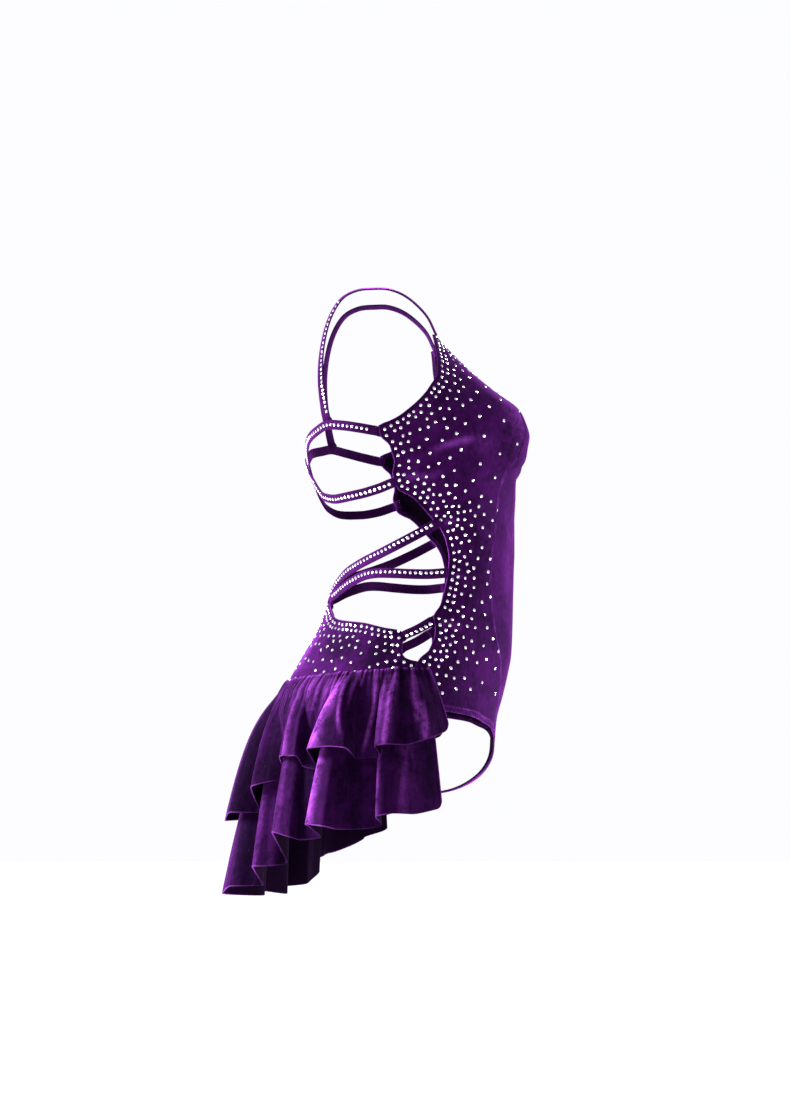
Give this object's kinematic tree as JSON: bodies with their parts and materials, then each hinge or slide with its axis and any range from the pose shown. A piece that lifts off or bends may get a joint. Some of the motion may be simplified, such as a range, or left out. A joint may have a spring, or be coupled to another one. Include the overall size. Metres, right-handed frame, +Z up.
{
  "type": "latin dance dress",
  "caption": "Backless latin dance dress in velvet: a fitted brief body, crossed back bands, cut-out waist with thin straps, and two flared ruffle tiers longer at the back.",
  "frame": {"origin": "midway between the tops of the two shoulder straps, where the wearer's shoulders hold the dress", "axes": "+Z up, the front faces -Y, the wearer's left side is +X"},
  "size_m": [0.433, 0.3814, 0.753],
  "materials": {
    "body_velvet": "stretch velvet, short pile, with a violet sheen",
    "strap_velvet": "folded stretch velvet strap",
    "ruffle_velvet": "soft stretch velvet, one layer with a rolled hem",
    "rhinestones": "cut glass with a silver foil back"
  },
  "bodies": {
    "root": {"front_centre_panel": "body_velvet", "front_side_panel_right": "body_velvet", "front_side_panel_left": "body_velvet", "back_yoke": "body_velvet", "seat_panel": "body_velvet", "shoulder_strap_right": "strap_velvet", "shoulder_strap_left": "strap_velvet", "back_band_right": "strap_velvet", "back_band_left": "strap_velvet", "upper_waist_strap_right": "strap_velvet", "upper_waist_strap_left": "strap_velvet", "lower_waist_strap_right": "strap_velvet", "lower_waist_strap_left": "strap_velvet", "hip_strap_right": "strap_velvet", "hip_strap_left": "strap_velvet", "upper_ruffle": "ruffle_velvet", "lower_ruffle": "ruffle_velvet"}
  },
  "joints": []
}
